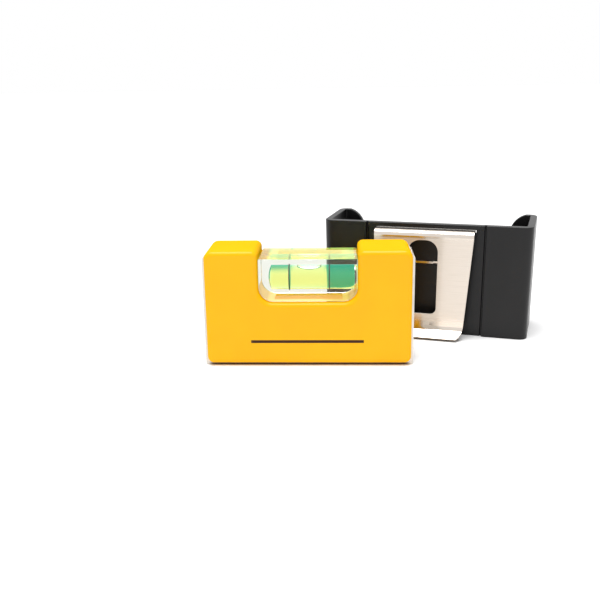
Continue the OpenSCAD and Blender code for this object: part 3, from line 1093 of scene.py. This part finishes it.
@dataclass
class Vial:
    """Clear block with its bore, the liquid, the bubble, the reading rings and the resin under the block."""

    corner: float = 5.0 * MM
    polish: float = 0.25 * MM
    polish_steps: int = 4
    lift: float = 0.02 * MM
    bore_gap: float = 0.02 * MM
    dome: float = 1.0 * MM
    dome_steps: int = 20
    groove: float = 0.25 * MM
    round_steps: int = 160
    liquid_sharp_deg: float = 60.0
    bubble_sharp_deg: float = 80.0
    bubble_around: int = 96
    bubble_rings: int = 49
    bubble_pole: float = 0.06
    bubble_halvings: int = 40
    bubble_fullness: float = 0.7
    bed_corner: float = 1.5 * MM
    bed_edge_steps: int = 9
    acrylic: ClearAcrylic = ClearAcrylic()
    bonded: BondedFace = BondedFace()
    liquid: VialLiquid = VialLiquid()
    air: BubbleAir = BubbleAir()
    black: MattBlack = MattBlack()
    resin: CastingResin = CastingResin()

    def __post_init__(self) -> None:
        """Takes the places of the vial's pieces from the frame."""
        self.block_low, self.block_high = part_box("vial_block")
        self.fluid_low, self.fluid_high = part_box("vial_fluid")
        self.bed_low, self.bed_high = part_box("vial_bedding")
        self.plug_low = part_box("vial_plug")[0]
        self.bore_r = (self.fluid_high.y - self.fluid_low.y) / 2 + self.bore_gap
        self.bore_z = self.fluid_low.z + self.bore_r - self.bore_gap

    def build(self) -> None:
        """Builds and dresses every piece of the vial."""
        acrylic, black = self.acrylic.material(), self.black.material()
        self.build_block(acrylic)
        self.build_fluid()
        self.build_bubble()
        self.build_bedding()
        dress_node("vial_plug", acrylic)
        for side in SIDES:
            dress_node(f"{side}_reading_ring", black)

    def turned(self, along: np.ndarray, radius: np.ndarray) -> np.ndarray:
        """Rings round the bore's axis: a half section carried round a circle.

        Args:
            along: Place of each ring along X.
            radius: Its radius.

        Returns:
            Points as (rings, points, 3).
        """
        angle = np.linspace(0, FULL_TURN, self.round_steps, endpoint=False)
        x = np.broadcast_to(along[:, None], (len(along), len(angle)))
        y = radius[:, None] * np.cos(angle)
        z = self.bore_z + radius[:, None] * np.sin(angle)
        return np.stack([x, y, z], -1)

    def bore_profile(self, left: float, right: float, radius: float) -> tuple[np.ndarray, np.ndarray]:
        """Half section of the bore: part of a ball as its left end, then a straight wall.

        Args:
            left: Place of the left end's deepest point.
            right: Place of the right end.
            radius: Radius of the wall.

        Returns:
            Places along X, and radii.
        """
        ball = (radius**2 + self.dome**2) / (2 * self.dome)
        across = np.linspace(self.polish, radius, self.dome_steps)
        along = left + ball - np.sqrt(ball**2 - across**2)
        return np.append(along, right), np.append(across, radius)

    def build_block(self, acrylic: Material) -> None:
        """Builds the block: its front view carried from front to rear with polished edges, less the bore.

        The top gets a painted glow. The underside is bonded over the resin, and has a painted highlight and
        glow ahead of it and round the corners.

        Args:
            acrylic: Material of the plain faces.
        """
        low, high, tall = self.block_low, self.block_high, self.polish
        floor = low.z + self.lift
        outline = Outline(
            ((low.x, floor), (high.x, floor), (high.x, high.z), (low.x, high.z)),
            (self.corner, self.corner, 2 * tall, 2 * tall),
        )
        turn = quarter_turn(self.polish_steps)
        inset = tall * (1 - np.sin(turn))
        depth = tall * (1 - np.cos(turn))
        flat = tall + 2 * outline.support
        insets = np.concatenate([[flat], inset, [0.0, 0.0], inset[::-1], [flat]])
        bed = [self.bed_low.y, self.bed_high.y]
        depths = np.concatenate([[low.y], low.y + depth, bed, high.y - depth[::-1], [high.y]])
        rings = outline.inset(insets)
        y = np.broadcast_to(depths[:, None], rings.shape[:2])
        block = ringed(np.stack([rings[..., 0], y, rings[..., 1]], -1)).piece("acrylic_block")
        materials = {
            BlockFace.PLAIN: acrylic,
            BlockFace.BONDED: self.bonded.material(),
            BlockFace.GLOWING: GlowingFace(self.acrylic, self.fluid_low.x, self.fluid_high.x).material(),
            BlockFace.HAZY: HazyFace(self.acrylic, low.z).material(),
        }
        dress(block, *materials.values())
        _, y, z = face_middles(block).T
        under = (z < low.z + self.corner) & (y > low.y + tall) & (y < high.y - tall)
        hazy = under & ((y < self.bed_low.y) | (z > low.z + 2 * self.lift))
        chosen = [BlockFace.GLOWING, BlockFace.HAZY, BlockFace.BONDED]
        choose_slots(block, np.select([z > high.z - tall / 2, hazy, under], chosen, BlockFace.PLAIN))
        cut(block, self.bore(materials[BlockFace.BONDED], acrylic))
        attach(block, "level")
        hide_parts("vial_block")
        report(block)

    def bore(self, wet: Material, dry: Material) -> Piece:
        """Cutter for the bore, with a groove for each reading ring.

        Args:
            wet: Material where the liquid touches.
            dry: Material from the plug outwards.

        Returns:
            The cutter.
        """
        left, right = self.fluid_low.x - self.bore_gap, self.block_high.x + self.corner
        along, across = self.bore_profile(left, right, self.bore_r)
        wet_end = self.plug_low.x - self.bore_gap / 2
        steps, rises = [], []
        for side in SIDES:
            ring_low, ring_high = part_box(f"{side}_reading_ring")
            steps += [ring_low.x - self.lift, ring_low.x - self.lift / 2]
            steps += [ring_high.x + self.lift / 2, ring_high.x + self.lift]
            rises += [0.0, self.groove, self.groove, 0.0]
        along = np.concatenate([along[:-1], steps, [wet_end], along[-1:]])
        across = np.concatenate([across[:-1], self.bore_r + np.array(rises), [self.bore_r], across[-1:]])
        cutter = ringed(self.turned(along, across)).piece("bore")
        dress(cutter, wet, dry)
        choose_slots(cutter, face_middles(cutter)[:, 0] > wet_end)
        return cutter

    def build_fluid(self) -> None:
        """Builds the liquid as the whole bore's filling, so that the bubble can move in it."""
        along, across = self.bore_profile(self.fluid_low.x, self.fluid_high.x, self.bore_r - self.bore_gap)
        along = np.append(along, self.fluid_high.x)
        across = np.append(across, across[-1] - self.polish)
        fluid = ringed(self.turned(along, across)).piece("liquid_filling", self.liquid_sharp_deg)
        dress(fluid, self.liquid.material())
        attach(fluid, "level")
        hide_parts("vial_fluid")
        report(fluid)

    def build_bubble(self) -> None:
        """Builds the bubble: a lens between the round bore above and a ball below, with a rounded rim.

        For each direction in plan the rim lies where the two faces meet, found by halving. Between the middle
        and the rim, half the lens's thickness is raised to a power under 1, which rounds the rim.
        """
        low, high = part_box("bubble")
        roof = high.z - self.bore_z
        length, depth = high.x - low.x, high.z - low.z
        ball = (length * length / 4 + depth * depth) / (2 * depth)
        middle = (low.x + high.x) / 2
        around = np.linspace(0, FULL_TURN, self.bubble_around, endpoint=False)

        def faces(reach: np.ndarray) -> tuple[np.ndarray, np.ndarray]:
            """Heights of the upper and the lower face at each reach from the middle."""
            upper = self.bore_z + np.sqrt(roof**2 - (reach * np.sin(around)) ** 2)
            return upper, low.z + ball - np.sqrt(ball**2 - reach**2)

        inside, outside = np.zeros_like(around), np.full_like(around, min(roof, length / 2 + MM))
        for _ in range(self.bubble_halvings):
            half = (inside + outside) / 2
            upper, lower = faces(half)
            inside = np.where(upper > lower, half, inside)
            outside = np.where(upper > lower, outside, half)
        polar = np.linspace(self.bubble_pole, math.pi - self.bubble_pole, self.bubble_rings)[:, None]
        reach = inside * np.sin(polar)
        upper, lower = faces(reach)
        thick = depth / 2 * (np.maximum(upper - lower, 0) / depth) ** self.bubble_fullness
        z = (upper + lower) / 2 + np.sign(np.cos(polar)) * thick
        skin = ringed(np.stack([middle + reach * np.cos(around), reach * np.sin(around), z], -1))
        skin.unrolled = np.stack(np.broadcast_arrays(around, polar), -1).reshape(-1, 2)
        bubble = skin.piece("air_bubble", self.bubble_sharp_deg)
        dress(bubble, self.air.material())
        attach(bubble, "bubble")
        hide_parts("bubble")
        report(bubble)

    def build_bedding(self) -> None:
        """Builds the resin bed: a thin slab with a soft outline and a rounded edge."""
        low, high = self.bed_low, self.bed_high
        corners = ((low.x, low.y), (high.x, low.y), (high.x, high.y), (low.x, high.y))
        outline = Outline(corners, (self.bed_corner,) * len(corners))
        half = (high.z - low.z) / 2 - self.lift / 2
        angle = np.linspace(-RIGHT_ANGLE, RIGHT_ANGLE, self.bed_edge_steps)
        insets = np.concatenate([[2 * half], half * (1 - np.cos(angle)), [2 * half]])
        levels = (low.z + high.z) / 2 + half * np.concatenate([[-1.0], np.sin(angle), [1.0]])
        rings = outline.inset(insets)
        z = np.broadcast_to(levels[:, None], rings.shape[:2])
        bed = ringed(np.concatenate([rings, z[..., None]], -1)).piece("resin_bed")
        dress(bed, self.resin.material())
        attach(bed, "level")
        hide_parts("vial_bedding")
        report(bed)


@dataclass(frozen=True)
class StripPath:
    """Middle line of a bent strip in its side view, as runs that each have a length and a turn."""

    start: Span
    heading: float
    runs: tuple[Span, ...]

    def ends(self) -> np.ndarray:
        """Distance along the path at the end of each run."""
        return np.cumsum([length for length, _ in self.runs])

    def at(self, along: np.ndarray) -> tuple[np.ndarray, np.ndarray]:
        """Points and headings at distances along the path.

        A run of length L that turns by a has a chord of L times sin(a/2)/(a/2), headed half-way through the
        turn. Runs add up chord by chord, and the point within a run is on the chord of its own part.

        Args:
            along: Distances from the start.

        Returns:
            Points as (n, 2), and headings in radians as (n,).
        """
        length, turn = np.array(self.runs).T
        end = np.cumsum(length)
        first = self.heading + np.concatenate([[0], np.cumsum(turn)[:-1]])
        chord = length * np.sinc(turn / FULL_TURN)
        step = chord[:, None] * np.stack([np.cos(first + turn / 2), np.sin(first + turn / 2)], 1)
        corner = np.array(self.start) + np.concatenate([[[0, 0]], np.cumsum(step, 0)[:-1]])
        run = np.clip(np.searchsorted(end, along), 0, len(length) - 1)
        within = along - (end - length)[run]
        bend = turn[run] * within / length[run]
        reach = (within * np.sinc(bend / FULL_TURN))[:, None]
        middle = first[run] + bend / 2
        return corner[run] + reach * np.stack([np.cos(middle), np.sin(middle)], 1), first[run] + bend


class Run(IntEnum):
    """Runs of the steel strip, from the inner leaf's lower edge to the foot."""

    INNER_LEAF = 0
    INNER_BEND = 1
    THROUGH_SLOT = 2
    TOP_BEND = 3
    OUTER_LEAF = 4
    FOOT_BEND = 5
    FOOT = 6


@dataclass
class Holster:
    """Black moulded pocket and the bent steel strip that clips it to a belt."""

    plastic: BlackPlastic = BlackPlastic()
    hinge_in: float = 1.2 * MM
    weld: float = 0.002 * MM
    plane_deg: float = 0.5
    edge: float = 0.22 * MM
    edge_segments: int = 3
    edge_deg: float = 40.0
    strip_t: float = 0.8 * MM
    strip_edge: float = 0.12 * MM
    strip_segments: int = 2
    strip_deg: float = 60.0
    inner_y: float = 2.15 * MM
    inner_low: float = 19.5 * MM
    shoulder_low: float = 33.0 * MM
    shoulder_ease: float = 0.5 * MM
    inner_half: float = 10.0 * MM
    inner_bend_r: float = 0.8 * MM
    run_len: float = 2.8 * MM
    top_bend_r: float = 2.0 * MM
    leaf_lean: float = math.radians(4)
    leaf_len: float = 32.3622 * MM
    foot_bend_r: float = 3.0 * MM
    foot_turn: float = math.radians(45)
    foot_len: float = 3.2 * MM
    top_half: float = 18.1 * MM
    foot_half: float = 15.6 * MM
    foot_corner: float = 5.0 * MM
    window_half: float = 5.5 * MM
    window_low: float = 9.0 * MM
    window_high: float = 36.0 * MM
    window_top_r: float = 4.4 * MM
    window_low_r: float = 2.2 * MM
    barb_z: float = 26.8 * MM
    barb_half: float = 3.2 * MM
    barb_reach: float = 0.25 * MM
    barb_bend_r: float = 1.0 * MM
    held_y: float = 0.85 * MM
    free_y: float = -1.0 * MM
    run_rows: tuple[int, ...] = (10, 8, 6, 16, 12, 14, 14)
    corner_steps: int = 12
    half_columns: int = 6
    barb_rows: int = 12
    barb_columns: int = 9
    tiny: float = 0.001 * MM

    def __post_init__(self) -> None:
        """Takes the holster's own frame from the clip's hinge."""
        hinge = next(joint for joint in frame["joints"] if joint["name"] == "clip_flex")
        x, y, self.run_z = hinge["pos_m"]
        self.along = -np.array(hinge["axis"], float)
        self.rearward = np.array([-self.along[1], self.along[0], 0.0])
        self.origin = np.array([x, y, 0.0]) - self.hinge_in * self.rearward

    def placed(self, x: np.ndarray, y: np.ndarray, z: np.ndarray) -> np.ndarray:
        """Points of the holster's own frame in the row frame."""
        flat = x[..., None] * self.along + y[..., None] * self.rearward
        return self.origin + flat + z[..., None] * np.array([0.0, 0.0, 1.0])

    def build(self) -> None:
        """Builds and dresses the pocket and the strip."""
        self.dress_pocket()
        self.build_strip()

    def dress_pocket(self) -> None:
        """Dresses the pocket's solid and softens its edges as moulding does."""
        pocket = dress_node("holster_body", self.plastic.material())
        weld = pocket.modifiers.new("weld", "WELD")
        weld.merge_threshold = self.weld
        merge = pocket.modifiers.new("planes", "DECIMATE")
        merge.decimate_type = "DISSOLVE"
        merge.angle_limit = math.radians(self.plane_deg)
        soften(pocket, self.edge, self.edge_segments, self.edge_deg)

    def strip_path(self) -> StripPath:
        """Middle line of the strip, from the inner leaf's lower edge to the flared foot.

        Returns:
            The path in the holster's own frame.
        """
        over = RIGHT_ANGLE - self.leaf_lean
        runs = {
            Run.INNER_LEAF: (self.run_z - self.inner_bend_r - self.inner_low, 0.0),
            Run.INNER_BEND: (self.inner_bend_r * RIGHT_ANGLE, RIGHT_ANGLE),
            Run.THROUGH_SLOT: (self.run_len, 0.0),
            Run.TOP_BEND: (self.top_bend_r * over, over),
            Run.OUTER_LEAF: (self.leaf_len, 0.0),
            Run.FOOT_BEND: (self.foot_bend_r * self.foot_turn, -self.foot_turn),
            Run.FOOT: (self.foot_len, 0.0),
        }
        return StripPath((self.inner_y, self.inner_low), RIGHT_ANGLE, tuple(runs.values()))

    def outer_half(self, along: np.ndarray, z: np.ndarray, leaf_start: float) -> np.ndarray:
        """Half the strip's width: a narrow tongue, wide shoulders, and a taper to the foot's round corners.

        Args:
            along: Distances along the strip.
            z: Heights there.
            leaf_start: Where the outer leaf begins.

        Returns:
            The half widths.
        """
        shoulder = self.shoulder_low - self.inner_low
        inner = np.interp(along, [shoulder, shoulder + self.shoulder_ease], [self.inner_half, self.top_half])
        top = z[np.searchsorted(along, leaf_start)]
        taper = np.interp(z, [self.foot_corner, top], [self.foot_half, self.top_half])
        below = np.clip(self.foot_corner - z, 0, self.foot_corner)
        rounded = np.sqrt(self.foot_corner**2 - below**2) - self.foot_corner
        return np.where(along < leaf_start, inner, taper + rounded)

    def window_edge(self, z: np.ndarray) -> np.ndarray:
        """Half the window's width, with round corners at its top and its foot.

        Args:
            z: Heights.

        Returns:
            The half widths there.
        """

        def rounded(inside: np.ndarray, radius: float) -> np.ndarray:
            """Half width at a distance inside an end whose corners have that radius."""
            left = radius - np.clip(inside, 0, radius)
            return self.window_half - radius + np.sqrt(radius**2 - left**2)

        top = rounded(self.window_high - z, self.window_top_r)
        return np.minimum(top, rounded(z - self.window_low, self.window_low_r))

    def strip_rows(self, path: StripPath) -> np.ndarray:
        """Places along the path for rows of points: close together in bends and corners.

        Args:
            path: The strip's middle line.

        Returns:
            Distances along the path, rising.
        """
        ends = path.ends()
        starts = np.concatenate([[0.0], ends[:-1]])
        spread = [np.linspace(a, b, n) for a, b, n in zip(starts, ends, self.run_rows)]
        shoulder = self.shoulder_low - self.inner_low
        leaf_start = ends[Run.TOP_BEND]
        leaf_top = path.at(np.array([leaf_start]))[0][0, 1]

        def on_leaf(height: np.ndarray) -> np.ndarray:
            """Distance along the path of a height on the outer leaf."""
            return leaf_start + (leaf_top - height) / math.cos(self.leaf_lean)

        ease = 1 - np.cos(quarter_turn(self.corner_steps))
        corners = [
            on_leaf(self.window_high - self.window_top_r * ease),
            on_leaf(self.window_low + self.window_low_r * ease),
            [shoulder, shoulder + self.shoulder_ease],
        ]
        rows = np.sort(np.concatenate([*spread, *corners]))
        return rows[np.concatenate([[True], np.diff(rows) > self.tiny])]

    def sheet(self, path: StripPath, rows: np.ndarray, x: np.ndarray, kept: np.ndarray) -> Skin:
        """Sheet of the strip's thickness along a path.

        Args:
            path: The strip's middle line.
            rows: Distances along it.
            x: Position across the strip, as (rows, columns).
            kept: Which cells are there.

        Returns:
            The skin, with its unrolled map.
        """
        middle, heading = path.at(rows)
        side = np.stack([np.sin(heading), -np.cos(heading)], 1) * self.strip_t / 2
        front, back = (
            self.placed(x, np.broadcast_to(line[:, :1], x.shape), np.broadcast_to(line[:, 1:], x.shape))
            for line in (middle + side, middle - side)
        )
        unrolled = np.stack([x, np.broadcast_to(rows[:, None], x.shape)], -1)
        return plate(front, back, kept, unrolled)

    def build_strip(self) -> None:
        """Builds the strip in one piece, so that it bends where it passes through the slot."""
        path = self.strip_path()
        rows = self.strip_rows(path)
        leaf_start, leaf_end = path.ends()[[Run.TOP_BEND, Run.OUTER_LEAF]]
        z = path.at(rows)[0][:, 1]
        outer = self.outer_half(rows, z, leaf_start)
        inner = self.window_edge(z)
        share = np.linspace(0, 1, self.half_columns)
        right = inner[:, None] + (outer - inner)[:, None] * share
        x = np.concatenate([-right[:, ::-1], right], 1)
        kept = np.ones((len(rows) - 1, x.shape[1] - 1), bool)
        between = (z[:-1] + z[1:]) / 2
        on_leaf = (rows[:-1] > leaf_start - self.tiny) & (rows[1:] < leaf_end + self.tiny)
        window = on_leaf & (between > self.window_low) & (between < self.window_high)
        kept[window, self.half_columns - 1] = False
        skin = self.sheet(path, rows, x, kept).joined(self.barb())
        strip = skin.piece("steel_strip", self.strip_deg)
        soften(strip, self.strip_edge, self.strip_segments, self.strip_deg)
        dress(strip, SpringSteel(leaf_start, leaf_end).material())
        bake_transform(strip)
        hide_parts("clip_anchor", "belt_clip")
        report(strip)

    def barb(self) -> Skin:
        """Tab bent out of the inner leaf, which catches in the wall's slit.

        Returns:
            The tab's skin.
        """
        runs = ((self.barb_bend_r * RIGHT_ANGLE, RIGHT_ANGLE), (self.barb_reach, 0.0))
        path = StripPath((self.inner_y, self.barb_z - self.barb_bend_r), RIGHT_ANGLE, runs)
        rows = np.linspace(0, path.ends()[-1], self.barb_rows)
        across = np.linspace(-self.barb_half, self.barb_half, self.barb_columns)
        x = np.broadcast_to(across, (self.barb_rows, self.barb_columns))
        return self.sheet(path, rows, x, np.ones((self.barb_rows - 1, self.barb_columns - 1), bool))


# Studio


@dataclass(frozen=True)
class PhotoCamera:
    """Camera at the photograph's place, with its framing."""

    place: Triple = (10.364 * MM, -269.947 * MM, 95.712 * MM)
    yaw: float = 0.04992
    pitch: float = 0.27244
    roll: float = -0.01687
    focal_px: float = 822.228
    image_px: float = 600.0
    sensor_mm: float = 36.0
    nearest: float = 10.0 * MM

    def build(self) -> None:
        """Makes the camera, turned left by its yaw, down by its pitch and then by its roll."""
        data = bpy.data.cameras.new("photo_camera")
        data.sensor_width = self.sensor_mm
        data.lens = self.focal_px / self.image_px * self.sensor_mm
        data.clip_start = self.nearest
        camera = bpy.data.objects.new("photo_camera", data)
        heading = Matrix.Rotation(self.yaw, 4, "Z")
        tilt = Matrix.Rotation(RIGHT_ANGLE - self.pitch, 4, "X")
        lean = Matrix.Rotation(self.roll, 4, "Z")
        camera.matrix_world = Matrix.Translation(self.place) @ heading @ tilt @ lean
        bpy.context.scene.collection.objects.link(camera)
        bpy.context.scene.camera = camera


@dataclass(frozen=True)
class Studio:
    """White floor, soft light from above and a white surround."""

    floor_half: float = 4.0
    floor_drop: float = 0.03 * MM
    floor_white: float = 0.96
    floor_through: float = 0.67
    floor_roughness: float = 0.9
    floor_sheen: float = 0.1
    fill: float = 0.5
    key: float = 3.1
    key_angle: float = math.radians(40)
    key_from: Triple = (-0.05, -0.12, 1.0)

    def build(self) -> None:
        """Makes the floor, the world and the lamp."""
        self.build_floor()
        self.build_world()
        data = bpy.data.lights.new("soft_key", "SUN")
        data.energy = self.key
        data.angle = self.key_angle
        lamp = bpy.data.objects.new("soft_key", data)
        lamp.matrix_world = Vector(self.key_from).to_track_quat("Z", "Y").to_matrix().to_4x4()
        bpy.context.scene.collection.objects.link(lamp)
        bpy.context.scene.view_settings.view_transform = "Standard"

    def build_floor(self) -> None:
        """Makes the floor, a plain white sheet that is no brighter than white through glass."""
        half, low = self.floor_half, -self.floor_drop
        mesh = bpy.data.meshes.new("floor")
        corners = [(-half, -half, low), (half, -half, low), (half, half, low), (-half, half, low)]
        mesh.from_pydata(corners, [], [[0, 1, 2, 3]])
        floor = bpy.data.objects.new("floor", mesh)
        bpy.context.scene.collection.objects.link(floor)
        g = Graph.of_material("white_floor")
        clear = g.light_path("Transmission")
        white = g.mix(clear, toned(WHITE, self.floor_white), toned(WHITE, self.floor_through))
        sheet = g.principled(
            Base_Color=white, Roughness=self.floor_roughness, Specular_IOR_Level=self.floor_sheen
        )
        dress(floor, g.shown(sheet))

    def build_world(self) -> None:
        """Makes the surround: white to the eye, to mirrors and through glass, and a softer fill elsewhere."""
        world = bpy.data.worlds.new("surround")
        g = Graph(world)
        seen = g.light_path("Camera").at_least(g.light_path("Glossy")).at_least(g.light_path("Transmission"))
        strength = self.fill + (1 - self.fill) * seen
        light = g.node("ShaderNodeBackground", None, {"Color": WHITE, "Strength": strength})
        g.node("ShaderNodeOutputWorld", None, {"Surface": light.outputs[0]})
        bpy.context.scene.world = world


def main() -> None:
    """Builds the level, the vial, the holster and the studio."""
    logging.basicConfig(level=logging.INFO, format="%(name)s %(message)s")
    for part in (LevelBody(), Vial(), Holster(), PhotoCamera(), Studio()):
        LOG.info("building %s", type(part).__name__)
        part.build()


if __name__ == "__main__":
    main()
